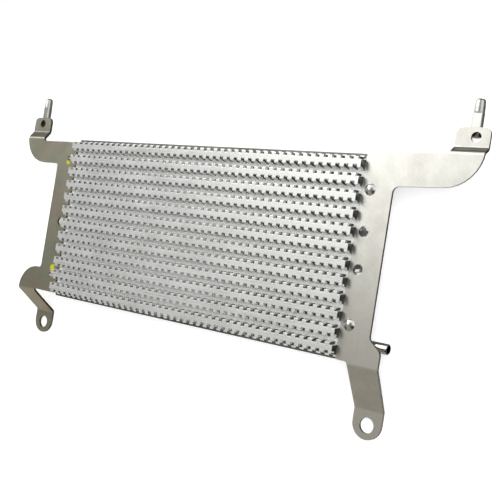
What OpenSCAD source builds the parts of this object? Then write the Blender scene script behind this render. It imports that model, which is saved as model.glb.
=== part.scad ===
// Diesel fuel cooler: a six-pass flow panel between two lanced fin sheets, riveted to two folded brackets.
// The pieces are drawn about the centre of the core, with the front plate's front face at y = 0 and the
// front towards -y. place() then moves them all, so that the origin is the right foot's hole at its back face.

/* [Fin sheets] */
// Number of corrugations, two for each pass of fuel
fin_rows = 12; // [12:4:16]
// Distance from one corrugation to the next
fin_pitch = 12.7; // [11:0.1:16]
// Width of the flat crest of a corrugation
crest_width = 6.2; // [4.5:0.1:7]
// Height that each wall of a corrugation covers as it runs from crest to valley
wall_run = 1.2; // [0.6:0.1:1.6]
// Height of the fins above the plate
fin_height = 9; // [6:0.5:12]
// Width of the flat edge along the top and the bottom of a fin sheet
fin_edge = 1; // [0.8:0.1:2]
// Thickness of the fin sheet
fin_sheet = 0.3; // [0.2:0.05:0.5]
// Number of lanced steps along the front sheet
front_lances = 15; // [5:2:33]
// Number of lanced steps along the rear sheet
rear_lances = 3; // [1:2:9]
// How far neighbouring steps are offset from each other
lance_offset = 1.4; // [0.6:0.1:1.6]

/* [Flow panel] */
// Length of the fin sheets and of the panel between its end flanges
core_length = 323.85; // [280:0.05:380]
// Plate left bare above the top corrugation and below the bottom one
plate_margin = 4.85; // [3.5:0.05:8]
// Thickness of the flat front plate
front_plate_t = 1.5; // [1:0.1:2.5]
// Thickness of the stamped back plate
back_plate_t = 1.2; // [0.8:0.1:1.6]
// Width of the joint between two neighbouring passes
rib_width = 5; // [4:0.5:8]
// Width of the joint at the two ends of the panel
end_joint = 4.4; // [3.5:0.1:8]
// Lean of the stamped walls, in degrees
draft = 12; // [6:1:16]
// Thickness of the turbulizer strips
turbulizer_t = 0.4; // [0.3:0.1:0.6]
// Distance from one wave of a turbulizer to the next
turbulizer_pitch = 10; // [8:1:14]

/* [Fuel tubes] */
// Outer diameter of the two tubes
tube_d = 8; // [6:0.5:9]
// Wall of the two tubes
tube_wall = 0.8; // [0.6:0.1:1.2]
// Length of tube that stands out past the core
tube_reach = 38.4; // [30:0.2:60]
// Length of the stamped neck that holds each tube
neck_length = 10; // [6:0.5:14]

/* [Brackets] */
// Thickness of the bracket sheet
bracket_t = 2.3; // [1.8:0.1:3]
// Inside radius of every bend
bend_r = 2; // [1:0.25:3]
// Gap between the fin ends and the brackets
bracket_gap = 0.4; // [0.3:0.1:1]
// Width of the upright strip of each bracket
strip_width = 25.4; // [22:0.2:30]
// Distance from a strip's inner edge to its rivets and open holes
rivet_inset = 7.2; // [6.5:0.1:9]
// Height of the right arm's top edge above the panel's top edge, at the core
right_arm_top = 1.2; // [0:0.1:3]
// Drop of the left arm's top edge below the panel's top edge
left_arm_top = 2.9; // [0.8:0.1:5.8]
// Rise of the right arm's top edge from the core to its tab
right_arm_rise = 1.4; // [0:0.1:2.5]
// Drop of the right arm's lower edge below the panel's top edge, at the strip
right_arm_low = 23.4; // [19.8:0.1:25.8]
// Rise of the right arm's lower edge from the strip to its tip
right_elbow_rise = 2.8; // [0:0.1:4]
// Drop of the left arm's lower edge below the panel's top edge
left_arm_low = 25; // [21.8:0.1:27.8]
// Radius of the right arm's outer lower corner
right_elbow_r = 28; // [20:0.5:30]
// Radius of the left arm's outer lower corner
left_elbow_r = 29; // [20:0.5:32]
// How far the right arm reaches out past the core
right_reach = 90.8; // [80:0.2:110]
// How far the left arm reaches out past the core
left_reach = 78.6; // [70:0.2:100]
// Set-back of the tabs behind the strips
tab_setback = 5.4; // [4:0.1:9]
// Height of the right tab's lower bend above the panel's top edge
right_tab_bend = 8.2; // [7:0.1:10]
// Height of the left tab's lower bend above the panel's top edge
left_tab_bend = 7.2; // [6:0.1:8]
// Height over which the right tab steps back
right_joggle = 3.4; // [2.5:0.1:5]
// Height over which the left tab steps back
left_joggle = 6.9; // [4:0.1:8]
// Width of the two upper tabs
tab_width = 25.4; // [22:0.1:30]
// Height of the right tab's top edge above the panel's top edge
right_tab_top = 22.8; // [21.2:0.1:26.2]
// Height of the left tab's top edge above the panel's top edge
left_tab_top = 22.1; // [21.2:0.1:26.2]
// Height of the tab holes above the panel's top edge
tab_hole_rise = 15.8; // [14.2:0.1:17.2]
// Diameter of the tab holes
tab_hole_d = 7.6; // [6:0.1:9]
// Offset of the right tab's hole from the tab's middle
right_tab_hole_shift = 2.5; // [-2:0.1:3]
// Diameter of the open holes in the strips
strip_hole_d = 8.2; // [6:0.1:9]
// Height of the right strip's upper open hole above the core's centre
right_hole_up = 19.1; // [12:0.1:30]
// Drop of the right strip's lower open hole below the core's centre
right_hole_down = 9.5; // [0:0.1:30]
// Drop of the left strip's open hole below the core's centre
left_hole_down = 5; // [-20:0.1:30]

/* [Feet] */
// Set-back of the feet behind the strips
foot_setback = 24; // [21:0.5:30]
// Width of the feet
foot_width = 24.5; // [21:0.1:28]
// Distance from a foot's hole down to the foot's rounded end
foot_end = 10.8; // [9.5:0.1:12.5]
// Diameter of the mounting holes in the feet
foot_hole_d = 11.8; // [8:0.1:13]
// Distance from the core's centre out to the right foot's hole
right_foot_x = 184; // [180:0.5:188]
// Drop of the right foot's hole below the panel's bottom edge
right_foot_drop = 46.1; // [42:0.1:53]
// Distance from the core's centre out to the left foot's hole
left_foot_x = 199.6; // [195:0.1:203]
// Drop of the left foot's hole below the panel's bottom edge
left_foot_drop = 31.7; // [29:0.1:42]
// Drop of the right leg's upper bend below the panel's bottom edge
right_leg_bend = 2.5; // [1.7:0.1:6.2]
// Rise of the left leg's upper bend above the panel's bottom edge
left_leg_bend = 0.3; // [-2.2:0.1:0.8]
// Height of the right shoulder above the panel's bottom edge, where it leaves the strip
right_shoulder_rise = 19.2; // [15.8:0.1:27.8]
// Drop of the right shoulder from there to its tip
right_shoulder_fall = 8.2; // [4:0.1:12]
// How far the right shoulder reaches out past the strip
right_shoulder_reach = 10.2; // [8:0.1:14]
// Height of the left shoulder's top edge above the panel's bottom edge
left_shoulder_rise = 24.5; // [21.8:0.1:28]
// How far the left shoulder reaches out past the strip
left_shoulder_reach = 29.7; // [26:0.1:32]
// Radius of the left shoulder, where its top edge turns down
left_shoulder_r = 23.5; // [12:0.5:26]
// Distance from the right strip's outer edge in to its leg
right_leg_inset = 15; // [12:0.1:17]
// Distance from the left strip's outer edge out to its leg
left_leg_outset = 4.8; // [2:0.1:6]
// Distance from the lower bend of a leg down to its foot's hole
foot_flat = 11.8; // [10:0.1:13]

/* [Rivets and pins] */
// Diameter of the rivets' shanks
rivet_d = 4.8; // [4:0.1:5.5]
// Diameter of the rivets' domed heads
rivet_head_d = 9.2; // [8:0.1:11]
// Height of the rivets' domed heads
rivet_head_h = 2.3; // [1.5:0.1:3]
// Diameter of the rivets' clinched ends
rivet_tail_d = 6; // [5.6:0.1:7.5]
// Height of the rivets' clinched ends
rivet_tail_h = 1.8; // [1.2:0.1:2.5]
// Distance of the right rivets in from the panel's top and bottom edges
right_rivet_inset = 27; // [23.8:0.1:29.8]
// Distance of the left rivets in from the panel's top and bottom edges
left_rivet_inset = 19.3; // [17.8:0.1:21.8]
// Diameter of the locating pins at their seats
pin_d = 8; // [6:0.1:9]
// Height that the pins stand above the tabs
pin_rise = 21; // [20:0.1:30]
// Diameter of the pins' round tips
pin_tip_d = 7.6; // [5:0.1:8.6]
// Length of the lead-in over which each tip tapers
pin_lead = 5.5; // [2:0.1:7]
// Loss of diameter over the lead-in
pin_lead_taper = 0.7; // [0.2:0.1:1.5]
// Bevel at the pins' tips
pin_bevel = 0.9; // [0.5:0.1:1.5]
// Depth of the flat that seats each pin on its tab
pin_flat = 1.4; // [1.2:0.1:2]
// Length of the flat above the tab
pin_flat_rise = 11.2; // [8:0.1:12]
// Length of the right pin below its tab's top edge
right_pin_tail = 6.2; // [5.5:0.1:7]
// Length of the left pin below its tab's top edge
left_pin_tail = 10.4; // [9.5:0.1:11.5]
// Offset of the right pin from the middle of its tab
right_pin_shift = 0; // [-4:0.1:2]
// Offset of the left pin from the middle of its tab
left_pin_shift = -2.2; // [-4:0.1:0]

/* [Hidden] */
$fn = 48;

// Running clearance between a tube or rivet and its hole
fit = 0.05;
// Most turn that one facet of a rounded corner takes, in degrees
facet_turn = 12;
// Length by which a cutter runs past what it cuts
over = 5;
// Length by which one lanced step runs into the next, where the metal between them is whole
lap = 0.05;

// The core, from the fin rows outwards
half_length = core_length / 2;
rows_height = (fin_rows - 1) * fin_pitch;
panel_height = rows_height + crest_width + 2 * plate_margin;
half_height = panel_height / 2;
plate_round = 2;

// The passes of fuel, two fin rows each, and the turns that join them
passes = fin_rows / 2;
pass_pitch = 2 * fin_pitch;
pass_width = pass_pitch - rib_width;
port_z = (passes - 1) / 2 * pass_pitch;
bore_d = tube_d + 2 * fit;
channel_depth = bore_d;
channel_half = half_length - end_joint;
channel_y = front_plate_t;
tube_y = front_plate_t + bore_d / 2;
back_face = front_plate_t + channel_depth + back_plate_t;
tube_overlap = 6;
turn_clearance = 6;
turbulizer_end = pass_width + turn_clearance;
turbulizer_play = 0.3;
turbulizer_width = pass_width - 2 * (channel_depth * tan(draft) + turbulizer_play);

// The ears of the front plate that the rivets go through
ear_width = 16;
ear_round = 3;
strip_x = half_length + bracket_gap;
rivet_x = strip_x + rivet_inset;
ear_x = rivet_x + ear_width / 2;
neck_margin = 7.5;

// The brackets' outlines
strip_out = strip_x + strip_width;
right_tip = half_length + right_reach;
left_tip = half_length + left_reach;
right_tab_x = right_tip - tab_width / 2;
left_tab_x = left_tip - tab_width / 2;
strip_front = -bracket_t;
left_strip_lift = 2.2;
tab_hole_z = half_height + tab_hole_rise;
right_rivet_z = half_height - right_rivet_inset;
left_rivet_z = half_height - left_rivet_inset;
right_foot_z = -half_height - right_foot_drop;
left_foot_z = -half_height - left_foot_drop;

// Radii of the brackets' corners, and how far a corner keeps from the line of a bend
small_r = 1;
edge_r = 3;
tab_r = 5;
leg_r = 8;
knee_r = 12;
bend_clear = 1;

// A foot's end is a half circle, all but a hair's breadth that keeps its two corners apart
foot_r = foot_width / 2;
foot_round = foot_r - 0.01;

// The left shoulder's radius gives way where the shoulder is too narrow or too low for it
shoulder_room = min(left_shoulder_reach - edge_r, left_shoulder_rise - left_leg_bend + bend_clear) - small_r;
shoulder_round = min(left_shoulder_r, shoulder_room);

// The pins stand behind the tabs, on their flats, and narrow to their round tips just above them
pin_y = tab_setback + pin_d / 2 - pin_flat;
pin_foot_bevel = 0.4;
pin_shoulder = 0.3;

// The rivets' domes and clinched ends
dome_steps = 8;
rivet_dimple = 1;
rivet_bevel = 0.5;

// Where the origin lies
origin = [right_foot_x, foot_setback, right_foot_z];

// Colours
fin_colour = [0.80, 0.81, 0.80];
plate_colour = [0.66, 0.67, 0.66];
inner_colour = [0.74, 0.72, 0.66];
bracket_colour = [0.72, 0.71, 0.66];
steel_colour = [0.84, 0.84, 0.83];

// A polygon's corner [x, y, r], rounded to radius r between its neighbours
function unit(v) = v / norm(v);
function xy(p) = [p[0], p[1]];
function corner(a, b, c, r) =
    let (u = unit(xy(a) - xy(b)), v = unit(xy(c) - xy(b)),
         cosine = max(-1, min(1, u * v)), half = acos(cosine) / 2)
    (r <= 0 || half > 89.5) ? [xy(b)] :
    let (centre = xy(b) + unit(u + v) * r / sin(half),
         start = xy(b) + u * r / tan(half) - centre,
         turn = 180 - 2 * half,
         side = sign(u[0] * v[1] - u[1] * v[0]),
         first = atan2(start[1], start[0]),
         n = max(2, ceil(turn / facet_turn)))
    [for (i = [0:n]) let (angle = first - side * turn * i / n)
        centre + r * [cos(angle), sin(angle)]];
function rounded(p) = [for (i = [0:len(p) - 1])
    each corner(p[(i + len(p) - 1) % len(p)], p[i], p[(i + 1) % len(p)], p[i][2])];

// The offset of an open line of points to its left, by a distance
function left_of(v) = [-v[1], v[0]];
function heading(p, i) = unit(p[min(i + 1, len(p) - 1)] - p[min(i, len(p) - 2)]);
function beside(p, distance) = [for (i = [0:len(p) - 1])
    let (before = heading(p, max(i - 1, 0)), after = heading(p, i), middle = unit(before + after))
    p[i] + left_of(middle) * distance / (middle * after)];
function reversed(p) = [for (i = [len(p) - 1:-1:0]) p[i]];

// A sheet of even thickness along its front face's line, with the same inside radius at every bend
function turns_left(p, i) = let (before = heading(p, i - 1), after = heading(p, i))
    before[0] * after[1] - before[1] * after[0] > 0;
function bend(p, i, left, right) = (i == 0 || i == len(p) - 1) ? 0 : turns_left(p, i) ? left : right;
function folded(p, t, r) = let (back = beside(p, t), all = [0:len(p) - 1]) rounded(concat(
    [for (i = all) [p[i][0], p[i][1], bend(p, i, r + t, r)]],
    reversed([for (i = all) [back[i][0], back[i][1], bend(p, i, r, r + t)]])));

module place() { translate(-origin) children(); }
module along_x(from, to) { translate([from, 0, 0]) rotate([90, 0, 90]) linear_extrude(to - from) children(); }
module along_y(from, to) { translate([0, to, 0]) rotate([90, 0, 0]) linear_extrude(to - from) children(); }
module along_z(from, to) { translate([0, 0, from]) linear_extrude(to - from) children(); }
module rod_x(from, to, y, z, r) { translate([from, y, z]) rotate([0, 90, 0]) cylinder(h = to - from, r = r); }
module hole_y(x, z, d) {
    translate([x, foot_setback + over, z]) rotate([90, 0, 0])
        cylinder(h = foot_setback + fin_height + 2 * over, d = d);
}

// One corrugated sheet, cut into steps that lie above and below each other by turns
function corrugation(row) = let (z = (row - (fin_rows - 1) / 2) * fin_pitch, half = crest_width / 2,
        low = fin_sheet / 2, high = fin_height - fin_sheet / 2)
    [[-low, z - half - wall_run], [-high, z - half], [-high, z + half], [-low, z + half + wall_run]];
function fin_line() = let (end = rows_height / 2 + crest_width / 2 + wall_run + fin_edge)
    concat([[-fin_sheet / 2, -end]], [for (row = [0:fin_rows - 1]) each corrugation(row)],
        [[-fin_sheet / 2, end]]);
module fin_sheet_profile() {
    polygon(concat(beside(fin_line(), fin_sheet / 2), reversed(beside(fin_line(), -fin_sheet / 2))));
}
module lanced_sheet(steps) {
    step = core_length / steps;
    union() for (i = [0:steps - 1])
        translate([0, 0, (i % 2 == 0 ? 1 : -1) * lance_offset / 2])
            along_x(-half_length + i * step - (i > 0 ? lap : 0), -half_length + (i + 1) * step)
                fin_sheet_profile();
}

module front_fin_sheet() { color(fin_colour) lanced_sheet(front_lances); }
module rear_fin_sheet() {
    color(fin_colour) translate([0, back_face, 0]) mirror([0, 1, 0]) lanced_sheet(rear_lances);
}

// The flat plate under the front fins, with the ears that carry the rivets and the tube necks
module front_plate() {
    ear_low = right_rivet_z - ear_width / 2;
    ear_high = port_z + neck_margin;
    left_low = left_rivet_z - ear_width / 2;
    left_high = left_rivet_z + ear_width / 2;
    right_side = [[half_length, ear_low, ear_round], [ear_x, ear_low, ear_round], [ear_x, ear_high, ear_round],
        [half_length, ear_high, plate_round], [half_length, half_height, plate_round]];
    left_side = [[-half_length, half_height, plate_round], [-half_length, left_high, ear_round],
        [-ear_x, left_high, ear_round], [-ear_x, left_low, ear_round], [-half_length, left_low, ear_round]];
    upper = concat(right_side, left_side);
    lower = [for (p = reversed(upper)) [p[0], -p[1], p[2]]];
    color(plate_colour) difference() {
        along_y(0, front_plate_t) polygon(rounded(concat(upper, lower)));
        rivet_places() hole_y(0, 0, rivet_d + 2 * fit);
    }
}

// The stamped back plate: drafted channels for the passes and turns, and a neck for each tube
module drafted(width, centre, grow, dip) {
    base = width / 2 + grow;
    top = base - channel_depth * tan(draft);
    rise = channel_depth + grow;
    polygon([[channel_y - dip, centre - base], [channel_y, centre - base], [channel_y + rise, centre - top],
        [channel_y + rise, centre + top], [channel_y, centre + base], [channel_y - dip, centre + base]]);
}
module pocket(x, length, z, height, grow, dip) {
    intersection() {
        along_x(-half_length, half_length) drafted(height, z, grow, dip);
        along_z(-half_height, half_height) mirror([1, -1]) drafted(length, x, grow, dip);
    }
}
module channels(grow, dip) {
    for (i = [0:passes - 1])
        pocket(0, 2 * channel_half, i * pass_pitch - port_z, pass_width, grow, dip);
    for (i = [0:passes - 2])
        pocket((i % 2 == 0 ? -1 : 1) * (channel_half - pass_width / 2), pass_width,
            (i + 0.5) * pass_pitch - port_z, pass_pitch + pass_width, grow, dip);
}
module neck(z, grow, dip, extra) {
    from = channel_half - pass_width / 2;
    to = half_length + neck_length + extra;
    rod_x(from, to, tube_y, z, bore_d / 2 + grow);
    translate([from, channel_y - dip, z - bore_d / 2 - grow])
        cube([to - from, bore_d / 2 + dip, bore_d + 2 * grow]);
}
module back_plate() {
    color(plate_colour) difference() {
        union() {
            along_y(channel_y, channel_y + back_plate_t)
                polygon(rounded([for (p = [[1, -1], [1, 1], [-1, 1], [-1, -1]])
                    [p[0] * half_length, p[1] * half_height, plate_round]]));
            channels(back_plate_t, 0);
            for (side = [-1, 1]) neck(side * port_z, back_plate_t, 0, 0);
        }
        channels(0, over);
        for (side = [-1, 1]) neck(side * port_z, 0, over, over);
    }
}

// A waved strip that fills the straight part of one pass and ties the two plates together
module turbulizer(index) {
    waves = floor(2 * (channel_half - turbulizer_end) / turbulizer_pitch);
    low = channel_y + turbulizer_t / 2;
    high = channel_y + channel_depth - turbulizer_t / 2;
    quarter = turbulizer_pitch / 4;
    line = [for (i = [0:waves - 1]) let (x = (i - waves / 2) * turbulizer_pitch)
        each [[x, low], [x + quarter, low], [x + 2 * quarter, high], [x + 3 * quarter, high]]];
    z = index * pass_pitch - port_z;
    color(inner_colour) along_z(z - turbulizer_width / 2, z + turbulizer_width / 2)
        polygon(concat(beside(line, turbulizer_t / 2), reversed(beside(line, -turbulizer_t / 2))));
}

// A plain tube with bevelled lips, from inside its pass to past the bracket
module fuel_tube(z) {
    lip = tube_wall / 2;
    outer = tube_d / 2;
    inner = outer - tube_wall;
    start = channel_half - tube_overlap;
    reach = half_length + tube_reach - start;
    color(steel_colour) translate([start, tube_y, z]) rotate([0, 90, 0])
        rotate_extrude() polygon([[inner, 0], [outer - lip, 0], [outer, lip], [outer, reach - lip],
            [outer - lip, reach], [inner, reach]]);
}

// The side view that both brackets share: tab, strip, leg and foot, as the sheet's front face
function side_line(tab_bend, joggle, leg_bend, foot_z) = [
    [tab_setback + strip_front, half_height + right_tab_top + over], [tab_setback + strip_front, tab_bend],
    [strip_front, tab_bend - joggle], [strip_front, leg_bend],
    [foot_setback + strip_front, foot_z + foot_flat], [foot_setback + strip_front, foot_z - foot_end - over]];
module folded_sheet(from, to, tab_bend, joggle, leg_bend, foot_z) {
    along_x(from, to) polygon(folded(side_line(tab_bend, joggle, leg_bend, foot_z), bracket_t, bend_r));
}

// The front view of the right bracket, from its top inner corner round to its lower one
function right_outline() = let (z = right_foot_z, x = right_foot_x, inner = right_tip - tab_width,
        arm = half_height + right_arm_top, tab = half_height + right_tab_top,
        low = half_height - right_arm_low, hip = right_shoulder_rise - half_height,
        knee = -half_height - right_leg_bend - bend_clear, shoulder = strip_out + right_shoulder_reach,
        leg = strip_out - right_leg_inset)
    [[strip_x, arm, tab_r], [inner, arm + right_arm_rise, edge_r], [inner, tab, tab_r],
     [right_tip, tab, tab_r], [right_tip, low + right_elbow_rise, right_elbow_r],
     [strip_out, low, tab_r], [strip_out, hip, tab_r],
     [shoulder, hip - right_shoulder_fall, tab_r], [shoulder, knee, knee_r],
     [x + foot_r, z + foot_flat + bend_clear, leg_r], [x + foot_r, z - foot_end, foot_round],
     [x - foot_r, z - foot_end, foot_round], [x - foot_r, z + foot_flat + bend_clear, leg_r],
     [leg, knee, leg_r], [leg, -half_height, edge_r], [strip_x, -half_height, small_r]];

// The front view of the left bracket, from its top inner corner round to its lower one
function left_outline() = let (z = left_foot_z, x = -left_foot_x, inner = -left_tip + tab_width,
        arm = half_height - left_arm_top, tab = half_height + left_tab_top,
        low = half_height - left_arm_low, hip = left_shoulder_rise - half_height,
        knee = -half_height + left_leg_bend - bend_clear, foot = left_strip_lift - half_height,
        shoulder = -strip_out - left_shoulder_reach, leg = -strip_out - left_leg_outset)
    [[-strip_x, arm, edge_r], [inner, arm, edge_r], [inner, tab, tab_r],
     [-left_tip, tab, tab_r], [-left_tip, low, left_elbow_r],
     [-strip_out, low, edge_r], [-strip_out, hip, edge_r],
     [shoulder, hip, shoulder_round], [shoulder, knee, small_r],
     [x - foot_r, z + foot_flat + bend_clear, leg_r], [x - foot_r, z - foot_end, foot_round],
     [x + foot_r, z - foot_end, foot_round], [x + foot_r, z + foot_flat + bend_clear, leg_r],
     [leg, knee, edge_r], [leg, foot, small_r], [-strip_x, foot, small_r]];

module right_bracket() {
    color(bracket_colour) difference() {
        intersection() {
            folded_sheet(strip_x - over, right_tip + over, half_height + right_tab_bend, right_joggle,
                -half_height - right_leg_bend, right_foot_z);
            along_y(strip_front - over, foot_setback + over) polygon(rounded(right_outline()));
        }
        for (z = [right_hole_up, -right_hole_down]) hole_y(rivet_x, z, strip_hole_d);
        for (side = [-1, 1]) hole_y(rivet_x, side * right_rivet_z, rivet_d + 2 * fit);
        hole_y(right_tab_x + right_tab_hole_shift, tab_hole_z, tab_hole_d);
        hole_y(right_foot_x, right_foot_z, foot_hole_d);
    }
}
module left_bracket() {
    color(bracket_colour) difference() {
        intersection() {
            folded_sheet(-left_tip - over, -strip_x + over, half_height + left_tab_bend, left_joggle,
                -half_height + left_leg_bend, left_foot_z);
            along_y(strip_front - over, foot_setback + over) polygon(rounded(left_outline()));
        }
        hole_y(-rivet_x, -left_hole_down, strip_hole_d);
        for (side = [-1, 1]) hole_y(-rivet_x, side * left_rivet_z, rivet_d + 2 * fit);
        hole_y(-left_tab_x, tab_hole_z, tab_hole_d);
        hole_y(-left_foot_x, left_foot_z, foot_hole_d);
    }
}

// A rivet: its domed head bears at y = 0 and its clinched end a grip's length behind
function dome(r, h, steps) = let (ball = (r * r + h * h) / (2 * h), sweep = asin(r / ball))
    [for (i = [0:steps]) let (a = sweep * (1 - i / steps)) [ball * sin(a), ball * cos(a) - ball + h]];
module rivet(grip) {
    shank = rivet_d / 2;
    tail = rivet_tail_d / 2;
    end = -grip - rivet_tail_h;
    color(steel_colour) rotate([90, 0, 0]) rotate_extrude()
        polygon(concat([[0, end + rivet_dimple], [rivet_dimple, end], [tail - rivet_bevel, end],
            [tail, end + rivet_bevel], [tail, -grip], [shank, -grip], [shank, 0]],
            dome(rivet_head_d / 2, rivet_head_h, dome_steps)));
}
module rivet_places() {
    for (side = [-1, 1]) {
        translate([-rivet_x, 0, side * left_rivet_z]) children();
        translate([rivet_x, 0, side * right_rivet_z]) children();
    }
}
module right_rivet(side) {
    translate([rivet_x, strip_front, side * right_rivet_z]) rivet(bracket_t + front_plate_t);
}
module left_rivet(side) {
    translate([-rivet_x, front_plate_t, side * left_rivet_z]) mirror([0, 1, 0])
        rivet(bracket_t + front_plate_t);
}

// A round pin with a tapered, bevelled tip, flattened where it is welded to the back of its tab
module locating_pin(x, top, tail) {
    r = pin_d / 2;
    tip = pin_tip_d / 2;
    end = tip - pin_lead_taper / 2;
    length = pin_rise + tail;
    neck = tail + pin_flat_rise;
    color(steel_colour) difference() {
        translate([x, pin_y, top - tail]) rotate_extrude()
            polygon([[0, 0], [r - pin_foot_bevel, 0], [r, pin_foot_bevel], [r, neck],
                [tip, neck + pin_shoulder], [tip, length - pin_lead], [end, length - pin_bevel],
                [end - pin_bevel, length], [0, length]]);
        translate([x - r - over, pin_y - r - over, top - tail - over])
            cube([pin_d + 2 * over, over + pin_flat, neck + over]);
    }
}

place() front_fin_sheet();
place() rear_fin_sheet();
place() front_plate();
place() back_plate();
place() turbulizer(0);  // turbulizer_1
place() turbulizer(1);  // turbulizer_2
place() turbulizer(2);  // turbulizer_3
place() turbulizer(3);  // turbulizer_4
place() turbulizer(4);  // turbulizer_5
place() turbulizer(5);  // turbulizer_6
place() fuel_tube(-port_z);  // inlet_tube
place() fuel_tube(port_z);  // outlet_tube
place() left_bracket();
place() right_bracket();
place() left_rivet(1);  // left_upper_rivet
place() left_rivet(-1);  // left_lower_rivet
place() right_rivet(1);  // right_upper_rivet
place() right_rivet(-1);  // right_lower_rivet
place() locating_pin(-left_tab_x + left_pin_shift, half_height + left_tab_top, left_pin_tail);  // left_locating_pin
place() locating_pin(right_tab_x + right_pin_shift, half_height + right_tab_top, right_pin_tail);  // right_locating_pin
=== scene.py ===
"""Diesel fuel cooler: lanced fin sheets, flow panel, plated brackets, pins, rivets and tubes."""

import math

import bpy
from mathutils import Matrix, Vector


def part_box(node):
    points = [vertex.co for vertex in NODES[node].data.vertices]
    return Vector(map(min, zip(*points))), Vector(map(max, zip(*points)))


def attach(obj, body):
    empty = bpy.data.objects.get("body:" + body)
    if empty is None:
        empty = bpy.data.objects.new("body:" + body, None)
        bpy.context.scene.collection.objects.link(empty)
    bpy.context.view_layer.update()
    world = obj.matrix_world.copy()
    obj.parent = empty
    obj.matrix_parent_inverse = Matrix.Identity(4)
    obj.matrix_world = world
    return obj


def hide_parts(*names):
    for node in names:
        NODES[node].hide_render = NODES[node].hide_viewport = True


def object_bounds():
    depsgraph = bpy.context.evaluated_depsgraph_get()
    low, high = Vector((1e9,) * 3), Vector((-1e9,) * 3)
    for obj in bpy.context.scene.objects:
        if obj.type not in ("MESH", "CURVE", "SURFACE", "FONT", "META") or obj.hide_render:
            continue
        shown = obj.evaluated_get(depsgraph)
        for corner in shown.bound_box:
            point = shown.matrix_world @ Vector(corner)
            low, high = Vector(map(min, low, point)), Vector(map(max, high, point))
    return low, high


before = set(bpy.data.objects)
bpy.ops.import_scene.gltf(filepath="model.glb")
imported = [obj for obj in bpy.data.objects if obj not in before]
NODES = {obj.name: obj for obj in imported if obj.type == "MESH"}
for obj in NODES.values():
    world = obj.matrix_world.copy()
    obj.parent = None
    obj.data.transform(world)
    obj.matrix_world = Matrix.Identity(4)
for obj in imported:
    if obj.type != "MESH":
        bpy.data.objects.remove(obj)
CAD_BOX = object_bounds()
MM = 0.001

# Fin sheets in millimetres: the corrugation, and the short steps that each sheet is lanced into
FIN_ROWS = 12
FIN_PITCH = 12.7
CREST_WIDTH = 6.2
CREST_ROUND = 0.4
WALL_RUN = 1.0
FIN_EDGE = 1.2
FIN_SHEET = 0.3
FIRST_LANCE = 2.73
LANCE_STEP = 3.79
LANCE_OFFSET = 2.2

# Edges of the brackets: their round in millimetres, and the angle in degrees past which an edge gets it
EDGE_ROUND = 0.6
EDGE_SEGMENTS = 3
SHARP_EDGE = 70

# Turbulizer strips in the panel, all of the fins' aluminium
TURBULIZERS = 6

# The core's place in metres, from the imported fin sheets
FRONT_LOW, FRONT_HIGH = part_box("front_fin_sheet")
FRONT_FACE = FRONT_HIGH[1]
REAR_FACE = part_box("rear_fin_sheet")[0][1]
CORE_LEFT = FRONT_LOW[0]
CORE_RIGHT = FRONT_HIGH[0]
CORE_X = (CORE_LEFT + CORE_RIGHT) / 2
CORE_Z = (FRONT_LOW[2] + FRONT_HIGH[2]) / 2
PANEL_Y = (FRONT_FACE + REAR_FACE) / 2
PANEL_HALF = (REAR_FACE - FRONT_FACE) / 2
FIN_HEIGHT = FRONT_FACE - FRONT_LOW[1]

# Camera, as solved from the fin rows and corners in the photograph, placed in millimetres from the core
CAMERA_PLACE = (458.83, -525.36, -19.6)
CAMERA_RIGHT = (0.79332732, 0.58811219, 0.15733982)
CAMERA_UP = (-0.11419821, -0.11009985, 0.98733824)
CAMERA_LENS = 57.6
CAMERA_SENSOR = 36.0
CAMERA_REACH = 50.0

# Colours of the surfaces. A pair holds the two ends between which a colour varies.
# The fins' valleys are near white, lighter than the crests: painted light for what bounces down into them.
VALLEY_PAINTED_LIGHT = (0.96, 0.965, 0.95)
FIN_CREST = ((0.67, 0.68, 0.66), (0.78, 0.79, 0.77))
# The inner side of the front fins is near black: painted shade for the dark inside of the lanced slits.
INSIDE_SHADE_TONES = ((0.03, 0.03, 0.027), (0.09, 0.09, 0.08))
# The panel's aluminium is darkened to a grey: painted shade for its narrow margins between the fins.
PANEL_SHADED_GREY = ((0.13, 0.13, 0.115), (0.26, 0.26, 0.24))
PANEL_RUBBED = (0.62, 0.62, 0.60)
BRACKET_ZINC = ((0.65, 0.645, 0.62), (0.78, 0.775, 0.75))
RIGHT_TINTS = ((1.0, 0.985, 0.955), (0.985, 1.0, 0.975))
LEFT_TINTS = ((0.98, 0.90, 0.76), (0.90, 0.96, 0.80))
# The front of the tab's fold, where it faces up, is darkened: painted shade for the dark it reflects from
# above.
FOLD_PAINTED_SHADE = (0.19, 0.18, 0.145)
SHEARED_STEEL = ((0.10, 0.085, 0.06), (0.34, 0.31, 0.25))
YELLOW_PAINT = (0.60, 0.575, 0.01)
PIN_ZINC = ((0.72, 0.715, 0.69), (0.84, 0.835, 0.81))
ZINC_SCRATCH = (0.86, 0.86, 0.82)
# A pin's dark brown below the tab's top, and the dark band at its own top
PIN_LOW_BROWN = (0.11, 0.085, 0.055)
PIN_TOP_DARK = (0.08, 0.075, 0.06)
TUBE_STEEL = (0.80, 0.78, 0.73)
RIVET_METAL = (0.86, 0.86, 0.85)

# How metallic and how rough the surfaces are. FIN_METALLIC runs from the valleys to the crests.
FIN_METALLIC = (0.05, 0.42)
FIN_ROUGHNESS = (0.24, 0.36)
# How metallic and how rough the near-black painted shade on the front fins' inner side is
INSIDE_SHADE_METALLIC = 0.3
INSIDE_SHADE_ROUGHNESS = 0.6
PANEL_METALLIC = 0.8
PANEL_ROUGHNESS = (0.36, 0.55)
ZINC_METALLIC = 0.95
BRIGHT_METALLIC = 1.0

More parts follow.
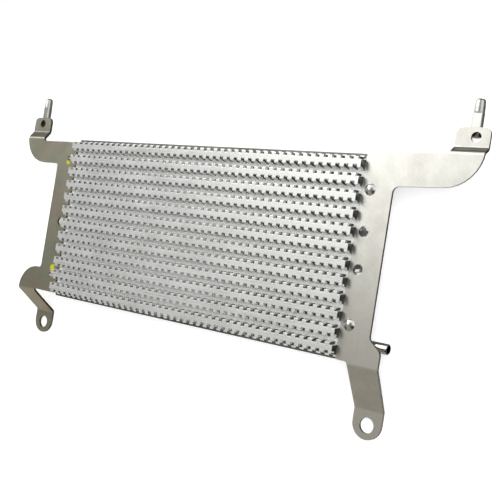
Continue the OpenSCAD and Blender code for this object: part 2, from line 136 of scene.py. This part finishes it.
# Spans of a mask or a noise that are spread into a full variation
TONE_SPAN = (0.35, 0.65)
GLOSS_SPAN = (0.3, 0.7)
CLOUD_SPAN = (0.38, 0.62)
ZINC_TONE_SPAN = (0.25, 0.75)
ZINC_GLOSS_SPAN = (0.2, 0.8)
WHOLE_SPAN = (0.0, 1.0)

# Dabs of yellow paint on the left bracket: (x, y, z, radius) in millimetres from the core's centre
LEFT_DABS = ((-172.0, -2.3, 55.0, 2.9), (-170.0, -2.3, -51.6, 3.6))
DAB_RAGGED = 1.3
DAB_EDGE = 0.4

# Heights on a pin in millimetres, down from the tab's top and from the pin's own top
BROWN_STARTS = 2.5
BROWN_FULL = 4.5
DARK_TOP_STARTS = 1.3
DARK_TOP_FULL = 0.8

# Floor and backdrop in metres, and how much they shine to the camera
FLOOR_HALF = 6.0
FLOOR_DROP = 0.25
BACKDROP_X = (-0.62, 0.40)
BACKDROP_Z = (-0.12, 0.36)
BACKDROP_GAP = 0.0005
STAGE_COLOUR = (0.8, 0.8, 0.8)
STAGE_SHINE = 0.55
WHITE = (1.0, 1.0, 1.0)

# Cards that only reflections show, in metres: the limits that they share, and where one has its own
CARDS_LEFT = -4.5
CARDS_RIGHT = 1.3
CARDS_FRONT = -1.6
CARDS_REAR = 2.6
CARDS_TOP = 1.3
FRONT_CARD_Z = (-1.4, 1.6)
FRONT_CARD_FADE = (1.6, 1.1)
LOW_CARD_DROP = 0.24
LOW_CARD_REAR = 0.6
LOW_RIGHT_CARD_TOP = 0.05
RIGHT_CARD_FRONT = -0.05
SIDE_CARDS_LOW = -0.6
TOP_CARD_LEFT = -3.0
TOP_CARD_FRONT = -0.3
TOP_CARD_HIGH = 1.5

# Colours of the cards, from what the metal in the photograph reflects
LOW_CARD_LEFT = (0.05, 0.047, 0.04)
LOW_CARD_MIDDLE = (0.33, 0.31, 0.265)
NEAR_BLACK = (0.02, 0.02, 0.018)
RIGHT_CARD = (0.06, 0.06, 0.055)
REAR_CARD = (0.10, 0.10, 0.085)
TOP_CARD = (0.12, 0.12, 0.105)
FRONT_CARD_FOOT = (0.03, 0.027, 0.02)
FRONT_CARD_WAIST = (0.38, 0.365, 0.30)
FRONT_CARD_LEFT = (0.065, 0.061, 0.043)
FRONT_CARD_RIGHT = (0.22, 0.21, 0.175)
GLARE = (2.5, 2.49, 2.45)
PAST_GLARE = (1.0, 0.99, 0.96)

# Where the colours of the cards pass into each other, in metres
WAIST_Z = (-0.25, 0.22)
GLARE_Z = (0.08, 0.34)
PAST_GLARE_X = (-0.9, -0.55)
FRONT_LEFT_X = (-1.0, -1.75)
FRONT_RIGHT_X = (-0.4, 0.15)
LOW_MIDDLE_X = (-2.2, -1.0)
LOW_RIGHT_X = (0.0, 0.3)

# Soft light from all round
WORLD_COLOUR = (0.97, 0.98, 1.0)
WORLD_LIGHT = 0.36


# Places, the camera and meshes
def core_point(x, y, z):
    """A point given in millimetres from the core's centre, at the front plate's face."""
    return Vector((CORE_X + x * MM, FRONT_FACE + y * MM, CORE_Z + z * MM))


def add_camera():
    data = bpy.data.cameras.new("camera")
    data.sensor_width = CAMERA_SENSOR
    data.sensor_height = CAMERA_SENSOR
    data.lens = CAMERA_LENS
    data.clip_end = CAMERA_REACH
    camera = bpy.data.objects.new("camera", data)
    right = Vector(CAMERA_RIGHT)
    up = Vector(CAMERA_UP)
    turn = Matrix((right, up, right.cross(up))).transposed()
    camera.matrix_world = Matrix.Translation(core_point(*CAMERA_PLACE)) @ turn.to_4x4()
    bpy.context.scene.collection.objects.link(camera)
    bpy.context.scene.camera = camera


def new_mesh(name, points, faces):
    mesh = bpy.data.meshes.new(name)
    mesh.from_pydata([tuple(p) for p in points], [], faces)
    mesh.validate()
    mesh.update()
    piece = bpy.data.objects.new(name, mesh)
    bpy.context.scene.collection.objects.link(piece)
    return piece


# Helpers for shader nodes
def put(tree, socket, value):
    """Gives a socket another node's output, or else a number, a point or a colour (r, g, b)."""
    if isinstance(value, bpy.types.NodeSocket):
        tree.links.new(value, socket)
    elif isinstance(value, tuple):
        socket.default_value = (*value, 1.0)
    else:
        socket.default_value = value


def object_place(tree):
    return tree.nodes.new("ShaderNodeTexCoord").outputs["Object"]


def surface_normal(tree):
    return tree.nodes.new("ShaderNodeNewGeometry").outputs["Normal"]


def separated(tree, vector):
    """The X, Y and Z of a vector."""
    node = tree.nodes.new("ShaderNodeSeparateXYZ")
    put(tree, node.inputs[0], vector)
    return node.outputs


def math_node(tree, operation, first, second=None, clamp=False):
    node = tree.nodes.new("ShaderNodeMath")
    node.operation = operation
    node.use_clamp = clamp
    put(tree, node.inputs[0], first)
    if second is not None:
        put(tree, node.inputs[1], second)
    return node.outputs[0]


def product(tree, first, *others):
    for other in others:
        first = math_node(tree, "MULTIPLY", first, other)
    return first


def centred(tree, noise, gain):
    """A noise from 0 to 1, moved to lie about 0 and then scaled."""
    return product(tree, math_node(tree, "SUBTRACT", noise, 0.5), gain)


def vector_node(tree, operation, first, second):
    """The number that a vector operation gives, such as a distance."""
    node = tree.nodes.new("ShaderNodeVectorMath")
    node.operation = operation
    put(tree, node.inputs[0], first)
    put(tree, node.inputs[1], second)
    return node.outputs["Value"]


def noise_node(tree, vector, scale, detail=3.0, roughness=0.5, distortion=0.0):
    node = tree.nodes.new("ShaderNodeTexNoise")
    node.inputs["Detail"].default_value = detail
    node.inputs["Roughness"].default_value = roughness
    node.inputs["Distortion"].default_value = distortion
    put(tree, node.inputs["Vector"], vector)
    put(tree, node.inputs["Scale"], scale)
    return node.outputs["Fac"]


def stretched(tree, vector, stretch, turn=(0, 0, 0)):
    """The vector turned by turn (degrees about X, Y, Z), then scaled by stretch."""
    spin = tree.nodes.new("ShaderNodeMapping")
    spin.inputs["Rotation"].default_value = [math.radians(angle) for angle in turn]
    put(tree, spin.inputs["Vector"], vector)
    scale = tree.nodes.new("ShaderNodeMapping")
    scale.inputs["Scale"].default_value = stretch
    put(tree, scale.inputs["Vector"], spin.outputs[0])
    return scale.outputs[0]


def remap(tree, value, span, to_span=WHOLE_SPAN):
    """The value's span spread over another one, and held at its ends."""
    node = tree.nodes.new("ShaderNodeMapRange")
    node.inputs["From Min"].default_value = span[0]
    node.inputs["From Max"].default_value = span[1]
    node.inputs["To Min"].default_value = to_span[0]
    node.inputs["To Max"].default_value = to_span[1]
    put(tree, node.inputs["Value"], value)
    return node.outputs["Result"]


def smooth_step(tree, value, span):
    """0 before the span, 1 after it, and a soft rise between."""
    result = remap(tree, value, span)
    result.node.interpolation_type = "SMOOTHSTEP"
    return result


def mixed(tree, factor, first, second, blend="MIX"):
    """Mixes two colours, given as (r, g, b) or as sockets."""
    node = tree.nodes.new("ShaderNodeMix")
    node.data_type = "RGBA"
    node.blend_type = blend
    # The node holds sockets for every kind of data, and these are the ones for colours
    put(tree, node.inputs[0], factor)
    put(tree, node.inputs[6], first)
    put(tree, node.inputs[7], second)
    return node.outputs[2]


def add_bump(tree, shader, height, strength, distance):
    bump = tree.nodes.new("ShaderNodeBump")
    bump.inputs["Strength"].default_value = strength
    bump.inputs["Distance"].default_value = distance
    put(tree, bump.inputs["Height"], height)
    put(tree, shader.inputs["Normal"], bump.outputs[0])


def new_group(name, inputs, outputs):
    """A shader group with float inputs {name: default} and float outputs [name]."""
    group = bpy.data.node_groups.new(name, "ShaderNodeTree")
    for label, default in inputs.items():
        socket = group.interface.new_socket(name=label, in_out="INPUT", socket_type="NodeSocketFloat")
        socket.default_value = default
    for label in outputs:
        group.interface.new_socket(name=label, in_out="OUTPUT", socket_type="NodeSocketFloat")
    given = group.nodes.new("NodeGroupInput").outputs
    wanted = group.nodes.new("NodeGroupOutput").inputs
    return group, given, wanted


def placed_group(tree, group, **values):
    """A group placed in a material with its own values, an underscore standing for a space in a name."""
    node = tree.nodes.new("ShaderNodeGroup")
    node.node_tree = group
    for label, value in values.items():
        node.inputs[label.replace("_", " ")].default_value = value
    return node.outputs


# Shared surface effects, each a group with named inputs and outputs
def zinc_grain_group():
    """Mottle and fine slanting streaks of plated sheet: a mask and a height."""
    group, given, wanted = new_group(
        "zinc_grain",
        {"Grain Scale": 900.0, "Mottle Scale": 60.0, "Streaks": 0.5},
        ["Mask", "Height"],
    )
    place = object_place(group)
    slant = stretched(group, place, stretch=(1.0, 1.0, 0.16), turn=(0, 38, 0))
    fine = noise_node(group, place, given["Grain Scale"], detail=2.0, roughness=0.6)
    mottle = noise_node(group, place, given["Mottle Scale"], detail=4.0, roughness=0.55, distortion=0.3)
    streak = noise_node(group, slant, given["Grain Scale"], detail=1.0)
    streaks = centred(group, streak, gain=given["Streaks"])
    height = math_node(group, "ADD", streaks, centred(group, fine, gain=0.6))
    total = math_node(group, "ADD", height, centred(group, mottle, gain=0.9))
    put(group, wanted["Mask"], math_node(group, "ADD", total, 0.5, clamp=True))
    put(group, wanted["Height"], height)
    return group


def edge_wear_group():
    """A mask that is 1 along bright, rubbed edges and 0 on the flat."""
    group, given, wanted = new_group("edge_wear", {"Amount": 1.0, "Break Scale": 220.0}, ["Mask"])
    bevel = group.nodes.new("ShaderNodeBevel")
    bevel.samples = 4
    bevel.inputs["Radius"].default_value = 0.7 * MM
    flatness = vector_node(group, "DOT_PRODUCT", bevel.outputs[0], surface_normal(group))
    edge = remap(group, flatness, (0.995, 0.86))
    broken = noise_node(group, object_place(group), given["Break Scale"])
    breaks = remap(group, broken, (0.35, 0.6), (0.35, 1.0))
    put(group, wanted["Mask"], product(group, edge, breaks, given["Amount"]))
    return group


def scratch_group():
    """Fine straight scratches in one slanting direction, few and long."""
    group, given, wanted = new_group("scratches", {"Scale": 160.0, "Amount": 1.0}, ["Mask"])
    place = object_place(group)
    line = stretched(group, place, stretch=(0.035, 1.0, 1.0), turn=(0, -42, 0))
    marks = remap(group, noise_node(group, line, given["Scale"], detail=2.0, roughness=0.7), (0.62, 0.70))
    where = remap(group, noise_node(group, place, scale=45.0, detail=2.0), (0.48, 0.60))
    put(group, wanted["Mask"], product(group, marks, where, given["Amount"]))
    return group


def rolled_group():
    """The drawn lines of rolled aluminium along X: a mask and a height."""
    group, given, wanted = new_group("rolled", {"Line Scale": 700.0, "Cloud Scale": 35.0}, ["Mask", "Height"])
    place = object_place(group)
    along = stretched(group, place, stretch=(0.03, 1.0, 1.0))
    lines = noise_node(group, along, given["Line Scale"])
    cloud = noise_node(group, place, given["Cloud Scale"])
    both = math_node(group, "ADD", product(group, lines, 0.5), product(group, cloud, 0.5))
    put(group, wanted["Mask"], both)
    put(group, wanted["Height"], lines)
    return group


ZINC_GRAIN = zinc_grain_group()
EDGE_WEAR = edge_wear_group()
SCRATCHES = scratch_group()
ROLLED = rolled_group()


# Materials
def new_material(name, **plain):
    """A material, its tree and its shader, with plain values on the shader's sockets of those names."""
    material = bpy.data.materials.new(name)
    material.use_nodes = True
    tree = material.node_tree
    shader = tree.nodes["Principled BSDF"]
    for label, value in plain.items():
        shader.inputs[label].default_value = value
    return material, tree, shader


def fin_aluminium():
    """Rolled aluminium, lighter in the valleys than on the crests: painted light for what bounces down into
    them.
    """
    material, tree, shader = new_material("fin_aluminium")
    rolled = placed_group(tree, ROLLED, Line_Scale=900.0, Cloud_Scale=40.0)
    from_middle = math_node(tree, "SUBTRACT", separated(tree, object_place(tree))["Y"], PANEL_Y)
    crest = remap(tree, math_node(tree, "ABSOLUTE", from_middle),
                  (PANEL_HALF + 0.1 * FIN_HEIGHT, PANEL_HALF + 0.9 * FIN_HEIGHT))
    # The crests keep their rolled tone; the valleys get a lighter colour as painted light.
    rubbed = mixed(tree, remap(tree, rolled["Mask"], TONE_SPAN), *FIN_CREST)
    put(tree, shader.inputs["Base Color"], mixed(tree, crest, VALLEY_PAINTED_LIGHT, rubbed))
    put(tree, shader.inputs["Metallic"], remap(tree, crest, WHOLE_SPAN, FIN_METALLIC))
    put(tree, shader.inputs["Roughness"], remap(tree, rolled["Mask"], GLOSS_SPAN, FIN_ROUGHNESS))
    add_bump(tree, shader, rolled["Height"], strength=0.15, distance=0.05 * MM)
    return material


def fin_inside():
    """The near-black inner side of the front fin sheet: painted shade for the dark that shows through its
    lanced slits.
    """
    material, tree, shader = new_material("fin_inside", Metallic=INSIDE_SHADE_METALLIC, Roughness=INSIDE_SHADE_ROUGHNESS)
    cloud = remap(tree, noise_node(tree, object_place(tree), scale=180.0), TONE_SPAN)
    put(tree, shader.inputs["Base Color"], mixed(tree, cloud, *INSIDE_SHADE_TONES))
    return material


def panel_aluminium():
    """The flow panel, its aluminium darkened to a grey as painted shade, and rubbed bright along its edges.
    """
    material, tree, shader = new_material("plate_aluminium", Metallic=PANEL_METALLIC)
    rolled = placed_group(tree, ROLLED, Line_Scale=500.0, Cloud_Scale=25.0)
    wear = placed_group(tree, EDGE_WEAR, Amount=0.6)["Mask"]
    # Grey, darkened as painted shade.
    grey = mixed(tree, remap(tree, rolled["Mask"], TONE_SPAN), *PANEL_SHADED_GREY)
    put(tree, shader.inputs["Base Color"], mixed(tree, wear, grey, PANEL_RUBBED))
    put(tree, shader.inputs["Roughness"], remap(tree, rolled["Mask"], GLOSS_SPAN, PANEL_ROUGHNESS))
    add_bump(tree, shader, rolled["Height"], strength=0.2, distance=0.08 * MM)
    return material


def zinc_plate(name, tones, roughness, grain_scale):
    """Zinc plate with a fine grain and a few scratches: its material, tree, shader and colour."""
    material, tree, shader = new_material(name, Metallic=ZINC_METALLIC)
    zinc = placed_group(tree, ZINC_GRAIN, Grain_Scale=grain_scale, Mottle_Scale=70.0, Streaks=0.4)
    scratches = placed_group(tree, SCRATCHES, Scale=180.0, Amount=0.3)["Mask"]
    plain = mixed(tree, remap(tree, zinc["Mask"], ZINC_TONE_SPAN), *tones)
    colour = mixed(tree, scratches, plain, ZINC_SCRATCH)
    gloss = remap(tree, zinc["Mask"], ZINC_GLOSS_SPAN, (roughness * 1.2, roughness * 0.85))
    put(tree, shader.inputs["Roughness"], gloss)
    add_bump(tree, shader, zinc["Height"], strength=0.15, distance=0.06 * MM)
    return material, tree, shader, colour


def paint_mask(tree, dabs):
    """1 inside each ragged dab of paint, and 0 outside."""
    place = object_place(tree)
    ragged = remap(tree, noise_node(tree, place, scale=420.0, detail=2.0), WHOLE_SPAN,
                   (-DAB_RAGGED * MM, DAB_RAGGED * MM))
    mask = None
    for x, y, z, radius in dabs:
        away = vector_node(tree, "DISTANCE", place, core_point(x, y, z))
        reach = math_node(tree, "ADD", away, ragged)
        dab = remap(tree, reach, (radius * MM, (radius - DAB_EDGE) * MM))
        mask = dab if mask is None else math_node(tree, "MAXIMUM", mask, dab)
    return mask


def bracket_steel(name, roughness, tints, dabs=()):
    """Zinc plate, with painted shade on the up-facing front of the tab's fold, brown where sheared, with dabs
    of yellow paint.
    """
    material, tree, shader, colour = zinc_plate(name, BRACKET_ZINC, roughness, grain_scale=1100.0)
    place = object_place(tree)
    normal = separated(tree, surface_normal(tree))
    clouds = noise_node(tree, place, scale=32.0, roughness=0.55, distortion=0.6)
    tint = mixed(tree, remap(tree, clouds, CLOUD_SPAN), *tints)
    colour = mixed(tree, 1.0, colour, tint, "MULTIPLY")
    # Painted shade on front faces that look up, such as the tab's fold.
    upward = remap(tree, normal["Z"], (0.2, 0.5))
    forward = remap(tree, normal["Y"], (0.0, -0.2))
    colour = mixed(tree, product(tree, upward, forward), colour, FOLD_PAINTED_SHADE)
    sheared = remap(tree, math_node(tree, "ABSOLUTE", normal["Y"]), (0.45, 0.2))
    torn = remap(tree, noise_node(tree, place, scale=900.0), TONE_SPAN)
    colour = mixed(tree, sheared, colour, mixed(tree, torn, *SHEARED_STEEL))
    if dabs:
        paint = paint_mask(tree, dabs)
        colour = mixed(tree, paint, colour, YELLOW_PAINT)
        put(tree, shader.inputs["Metallic"], remap(tree, paint, WHOLE_SPAN, (ZINC_METALLIC, 0.0)))
    put(tree, shader.inputs["Base Color"], colour)
    return material


def pin_steel(name, pin, bracket):
    """Plated like the brackets, dark at its top, and dark brown below the top of the bracket's tab."""
    material, tree, shader, colour = zinc_plate(name, PIN_ZINC, roughness=0.3, grain_scale=1400.0)
    pin_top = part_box(pin)[1][2]
    tab_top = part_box(bracket)[1][2]
    height = separated(tree, object_place(tree))["Z"]
    # Dark brown below the tab's top, and dark at the pin's own top.
    browned = remap(tree, height, (tab_top - BROWN_STARTS * MM, tab_top - BROWN_FULL * MM))
    dark_top = remap(tree, height, (pin_top - DARK_TOP_STARTS * MM, pin_top - DARK_TOP_FULL * MM))
    colour = mixed(tree, browned, colour, PIN_LOW_BROWN)
    put(tree, shader.inputs["Base Color"], mixed(tree, dark_top, colour, PIN_TOP_DARK))
    return material


def bright_metal(name, colour, roughness):
    """Bright drawn metal with faint lines, duller in some places than in others."""
    material, tree, shader = new_material(name, Metallic=BRIGHT_METALLIC)
    rolled = placed_group(tree, ROLLED, Line_Scale=600.0, Cloud_Scale=90.0)
    tone = remap(tree, rolled["Mask"], TONE_SPAN, (0.82, 1.0))
    gloss = remap(tree, rolled["Mask"], GLOSS_SPAN, (roughness * 0.7, roughness * 1.4))
    put(tree, shader.inputs["Base Color"], mixed(tree, 1.0, colour, tone, "MULTIPLY"))
    put(tree, shader.inputs["Roughness"], gloss)
    return material


FIN = fin_aluminium()
FIN_INSIDE = fin_inside()
PANEL = panel_aluminium()
RIGHT_BRACKET = bracket_steel("zinc_plated_right", roughness=0.36, tints=RIGHT_TINTS)
LEFT_BRACKET = bracket_steel("zinc_plated_left", roughness=0.32, tints=LEFT_TINTS, dabs=LEFT_DABS)
LEFT_PIN = pin_steel("zinc_plated_left_pin", "left_locating_pin", "left_bracket")
RIGHT_PIN = pin_steel("zinc_plated_right_pin", "right_locating_pin", "right_bracket")
TUBE = bright_metal("bright_tube", TUBE_STEEL, roughness=0.16)
RIVET = bright_metal("bright_rivet", RIVET_METAL, roughness=0.24)


# Fin sheets: each is one corrugated sheet, its steps pushed up and down by turns
OUTER_SIDE = 0
INNER_SIDE = 1


def corrugation_line():
    """The sheet's middle line across the rows, from the lowest edge up: (height, z) in millimetres."""
    low = FIN_SHEET / 2
    high = FIN_HEIGHT / MM - FIN_SHEET / 2
    half = CREST_WIDTH / 2
    rows = [(row - (FIN_ROWS - 1) / 2) * FIN_PITCH for row in range(FIN_ROWS)]
    end = rows[-1] + half + WALL_RUN + FIN_EDGE
    line = [(low, -end)]
    for z in rows:
        line += [(low, z - half - WALL_RUN), (high, z - half), (high, z + half), (low, z + half + WALL_RUN)]
    return line + [(low, end)]


def rounded_line(line, radius, steps=3):
    """The open line with each inner corner turned into a short curve."""
    out = [Vector(line[0])]
    for before, here, after in zip(line, line[1:], line[2:]):
        before, here, after = Vector(before), Vector(here), Vector(after)
        start = here + (before - here).normalized() * radius
        end = here + (after - here).normalized() * radius
        for i in range(steps + 1):
            t = i / steps
            out.append((1 - t) ** 2 * start + 2 * t * (1 - t) * here + t * t * end)
    return out + [Vector(line[-1])]


def thick_outline(line, thickness):
    """The closed outline of a sheet along a line: one face, then the other back again."""
    sides = ([], [])
    for i, here in enumerate(line):
        before = line[max(i - 1, 0)]
        after = line[min(i + 1, len(line) - 1)]
        along = (after - before).normalized()
        across = Vector((-along[1], along[0])) * thickness / 2
        sides[0].append(here + across)
        sides[1].append(here - across)
    return sides[0] + sides[1][::-1]


def lance_cuts():
    """Where a sheet is cut across, in millimetres from its left end, both ends among them."""
    length = (CORE_RIGHT - CORE_LEFT) / MM
    whole_steps = int((length - FIRST_LANCE) / LANCE_STEP)
    return [0.0] + [FIRST_LANCE + i * LANCE_STEP for i in range(whole_steps + 1)] + [length]


def step_faces(first, count):
    """The faces of one step, whose two end outlines start at first, and the side that each is on."""
    half = count // 2
    faces = []
    for k in range(count):
        after = (k + 1) % count
        side = INNER_SIDE if k < half - 1 else OUTER_SIDE
        faces.append(([first + k, first + count + k, first + count + after, first + after], side))
    for k in range(half - 1):
        mirror = count - 1 - k
        left_end = [first + k, first + k + 1, first + mirror - 1, first + mirror]
        right_end = [corner + count for corner in left_end]
        faces.append((left_end, OUTER_SIDE))
        faces.append((right_end[::-1], OUTER_SIDE))
    return faces


def lanced_fins(name, base_y, direction, inside):
    """One fin sheet, its base at base_y, and its crests in front (direction -1) or behind (direction 1)."""
    outline = thick_outline(rounded_line(corrugation_line(), CREST_ROUND), FIN_SHEET)
    cuts = lance_cuts()
    points, faces, sides = [], [], []
    for number, ends in enumerate(zip(cuts, cuts[1:])):
        shift = (0.5 if number % 2 == 0 else -0.5) * LANCE_OFFSET
        for face, side in step_faces(len(points), len(outline)):
            faces.append(face if direction > 0 else face[::-1])
            sides.append(side)
        for x in ends:
            for height, z in outline:
                points.append(Vector((CORE_LEFT + x * MM, base_y + direction * height * MM,
                                      CORE_Z + (z + shift) * MM)))
    piece = new_mesh(name, points, faces)
    piece.data.materials.append(FIN)
    piece.data.materials.append(inside)
    piece.data.polygons.foreach_set("material_index", sides)
    return piece


def add_fin_sheets():
    # The front sheet's inner side gets the near-black painted shade; the rear one's stays plain aluminium.
    sheets = (
        ("front_fins", "front_fin_sheet", FRONT_FACE, -1, FIN_INSIDE),
        ("rear_fins", "rear_fin_sheet", REAR_FACE, 1, FIN),
    )
    for name, node, base_y, direction, inside in sheets:
        piece = lanced_fins(name, base_y, direction, inside)
        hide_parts(node)
        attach(piece, "root")


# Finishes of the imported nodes
def round_edges(piece):
    """The rounded edges that shearing and plating leave, with the folds kept crisp."""
    bevel = piece.modifiers.new("rounded_edges", "BEVEL")
    bevel.width = EDGE_ROUND * MM
    bevel.segments = EDGE_SEGMENTS
    bevel.limit_method = "ANGLE"
    bevel.angle_limit = math.radians(SHARP_EDGE)


def dress_nodes():
    looks = {
        "front_plate": PANEL, "back_plate": PANEL,
        "left_bracket": LEFT_BRACKET, "right_bracket": RIGHT_BRACKET,
        "inlet_tube": TUBE, "outlet_tube": TUBE,
        "left_locating_pin": LEFT_PIN, "right_locating_pin": RIGHT_PIN,
        "left_upper_rivet": RIVET, "left_lower_rivet": RIVET,
        "right_upper_rivet": RIVET, "right_lower_rivet": RIVET,
    }
    for number in range(1, TURBULIZERS + 1):
        looks[f"turbulizer_{number}"] = FIN
    for name, material in looks.items():
        NODES[name].data.materials.clear()
        NODES[name].data.materials.append(material)
    for name in ("left_bracket", "right_bracket"):
        round_edges(NODES[name])


# Floor and backdrop
def background_rays(tree):
    """1 for the rays that show the white background: camera, glossy and transmission rays."""
    path = tree.nodes.new("ShaderNodeLightPath")
    direct = math_node(tree, "MAXIMUM", path.outputs["Is Camera Ray"], path.outputs["Is Glossy Ray"])
    return math_node(tree, "MAXIMUM", direct, path.outputs["Is Transmission Ray"])


def bare_material(name):
    """A material with nothing in it yet, its tree, and the socket that its surface goes to."""
    material = bpy.data.materials.new(name)
    material.use_nodes = True
    tree = material.node_tree
    tree.nodes.clear()
    return material, tree, tree.nodes.new("ShaderNodeOutputMaterial").inputs["Surface"]


def shining(tree, kind, colour, strength=1.0):
    """An Emission or Background shader of a colour, given as (r, g, b) or as a socket."""
    node = tree.nodes.new(kind)
    put(tree, node.inputs["Color"], colour)
    node.inputs["Strength"].default_value = strength
    return node.outputs[0]


def mixed_shaders(tree, factor, first, second):
    node = tree.nodes.new("ShaderNodeMixShader")
    put(tree, node.inputs[0], factor)
    put(tree, node.inputs[1], first)
    put(tree, node.inputs[2], second)
    return node.outputs[0]


def clear_shader(tree):
    return tree.nodes.new("ShaderNodeBsdfTransparent").outputs[0]


def white_stage(name, one_sided=False):
    """White to the camera, darker only where the object shades it, and clear from behind if one_sided."""
    material, tree, surface = bare_material(name)
    diffuse = tree.nodes.new("ShaderNodeBsdfDiffuse")
    put(tree, diffuse.inputs["Color"], STAGE_COLOUR)
    both = tree.nodes.new("ShaderNodeAddShader")
    put(tree, both.inputs[0], diffuse.outputs[0])
    put(tree, both.inputs[1], shining(tree, "ShaderNodeEmission", WHITE, STAGE_SHINE))
    seen = mixed_shaders(tree, background_rays(tree), diffuse.outputs[0], both.outputs[0])
    if one_sided:
        behind = tree.nodes.new("ShaderNodeNewGeometry").outputs["Backfacing"]
        seen = mixed_shaders(tree, behind, seen, clear_shader(tree))
    put(tree, surface, seen)
    return material


def level_corners(x_span, y_span, z):
    (x0, x1), (y0, y1) = x_span, y_span
    return [(x0, y0, z), (x1, y0, z), (x1, y1, z), (x0, y1, z)]


def wall_corners(x_span, y, z_span):
    (x0, x1), (z0, z1) = x_span, z_span
    return [(x0, y, z0), (x1, y, z0), (x1, y, z1), (x0, y, z1)]


def side_wall_corners(x, y_span, z_span):
    (y0, y1), (z0, z1) = y_span, z_span
    return [(x, y0, z0), (x, y1, z0), (x, y1, z1), (x, y0, z1)]


def add_stage_sheet(name, corners, material, hidden_from=()):
    """A flat sheet round the object, hidden from the kinds of rays that are named."""
    sheet = new_mesh(name, corners, [[0, 1, 2, 3]])
    sheet.data.materials.append(material)
    for rays in hidden_from:
        setattr(sheet, f"visible_{rays}", False)


def add_stage():
    floor_span = (-FLOOR_HALF, FLOOR_HALF)
    floor = level_corners(floor_span, floor_span, CAD_BOX[0][2] - FLOOR_DROP)
    backdrop = wall_corners(BACKDROP_X, CAD_BOX[1][1] + BACKDROP_GAP, BACKDROP_Z)
    add_stage_sheet("floor", floor, white_stage("floor_white"))
    add_stage_sheet("backdrop", backdrop, white_stage("backdrop_white", one_sided=True),
                    hidden_from=("diffuse", "glossy", "transmission", "shadow"))


# Cards that only reflections show
def front_card_paint(tree, place):
    """Dim at both sides and low down, and bright between them, as the brackets and rivets show it."""
    low = mixed(tree, smooth_step(tree, place["Z"], WAIST_Z), FRONT_CARD_FOOT, FRONT_CARD_WAIST)
    bright = mixed(tree, smooth_step(tree, place["X"], PAST_GLARE_X), GLARE, PAST_GLARE)
    middle = mixed(tree, smooth_step(tree, place["Z"], GLARE_Z), low, bright)
    left = mixed(tree, smooth_step(tree, place["X"], FRONT_LEFT_X), middle, FRONT_CARD_LEFT)
    return mixed(tree, smooth_step(tree, place["X"], FRONT_RIGHT_X), left, FRONT_CARD_RIGHT)


def low_card_paint(tree, place):
    """Grey under the object, darker to the left, and near black to the right."""
    under = mixed(tree, smooth_step(tree, place["X"], LOW_MIDDLE_X), LOW_CARD_LEFT, LOW_CARD_MIDDLE)
    return mixed(tree, smooth_step(tree, place["X"], LOW_RIGHT_X), under, NEAR_BLACK)


def card_material(name, paint, fade_z):
    """A plain or painted glow, which fades out upwards over the span fade_z if one is given."""
    material, tree, surface = bare_material(name)
    place = separated(tree, object_place(tree))
    colour = paint(tree, place) if callable(paint) else paint
    seen = shining(tree, "ShaderNodeEmission", colour)
    if fade_z:
        seen = mixed_shaders(tree, smooth_step(tree, place["Z"], fade_z), clear_shader(tree), seen)
    put(tree, surface, seen)
    return material


def add_cards():
    low = CAD_BOX[0][2] - LOW_CARD_DROP
    width = (CARDS_LEFT, CARDS_RIGHT)
    side_z = (SIDE_CARDS_LOW, CARDS_TOP)
    front = wall_corners(width, CARDS_FRONT, FRONT_CARD_Z)
    under = level_corners(width, (CARDS_FRONT, LOW_CARD_REAR), low)
    low_right = side_wall_corners(CARDS_RIGHT, (CARDS_FRONT, RIGHT_CARD_FRONT), (low, LOW_RIGHT_CARD_TOP))
    right = side_wall_corners(CARDS_RIGHT, (RIGHT_CARD_FRONT, CARDS_REAR), side_z)
    rear = wall_corners(width[::-1], CARDS_REAR, side_z)
    top = [
        (TOP_CARD_LEFT, TOP_CARD_FRONT, TOP_CARD_HIGH),
        (CARDS_RIGHT, TOP_CARD_FRONT, TOP_CARD_HIGH),
        (CARDS_RIGHT, CARDS_REAR, CARDS_TOP),
        (TOP_CARD_LEFT, CARDS_REAR, CARDS_TOP),
    ]
    cards = (
        ("front_card", front, front_card_paint, FRONT_CARD_FADE),
        ("low_card", under, low_card_paint, None),
        ("low_right_card", low_right, NEAR_BLACK, None),
        ("right_card", right, RIGHT_CARD, None),
        ("rear_card", rear, REAR_CARD, None),
        ("top_card", top, TOP_CARD, None),
    )
    for name, corners, paint, fade_z in cards:
        add_stage_sheet(name, corners, card_material(name, paint, fade_z),
                        hidden_from=("camera", "diffuse", "transmission", "shadow"))


# Light
def add_lamp(name, place, target, side, watts):
    data = bpy.data.lights.new(name, "AREA")
    data.shape = "SQUARE"
    data.size = side
    data.energy = watts
    lamp = bpy.data.objects.new(name, data)
    aim = Vector(target) - Vector(place)
    lamp.matrix_world = Matrix.Translation(Vector(place)) @ aim.to_track_quat("-Z", "Y").to_matrix().to_4x4()
    bpy.context.scene.collection.objects.link(lamp)
    return lamp


def add_light():
    """A key lamp at the upper left, and a fill lamp at the right that adds no highlights."""
    add_lamp("key", place=(-0.95, -0.85, 1.0), target=(-0.25, 0.0, 0.12), side=0.7, watts=8.0)
    fill = add_lamp("fill", place=(0.76, -1.29, 0.40), target=(-0.18, 0.0, 0.12), side=0.8, watts=12.3)
    fill.visible_glossy = False


def add_world():
    """White where the background shows, and a plain soft light elsewhere."""
    world = bpy.data.worlds.new("world")
    bpy.context.scene.world = world
    world.use_nodes = True
    tree = world.node_tree
    tree.nodes.clear()
    out = tree.nodes.new("ShaderNodeOutputWorld")
    light = shining(tree, "ShaderNodeBackground", WORLD_COLOUR, WORLD_LIGHT)
    white = shining(tree, "ShaderNodeBackground", WHITE)
    put(tree, out.inputs["Surface"], mixed_shaders(tree, background_rays(tree), light, white))
    bpy.context.scene.view_settings.view_transform = "Standard"


add_camera()
add_fin_sheets()
dress_nodes()
add_stage()
add_cards()
add_light()
add_world()
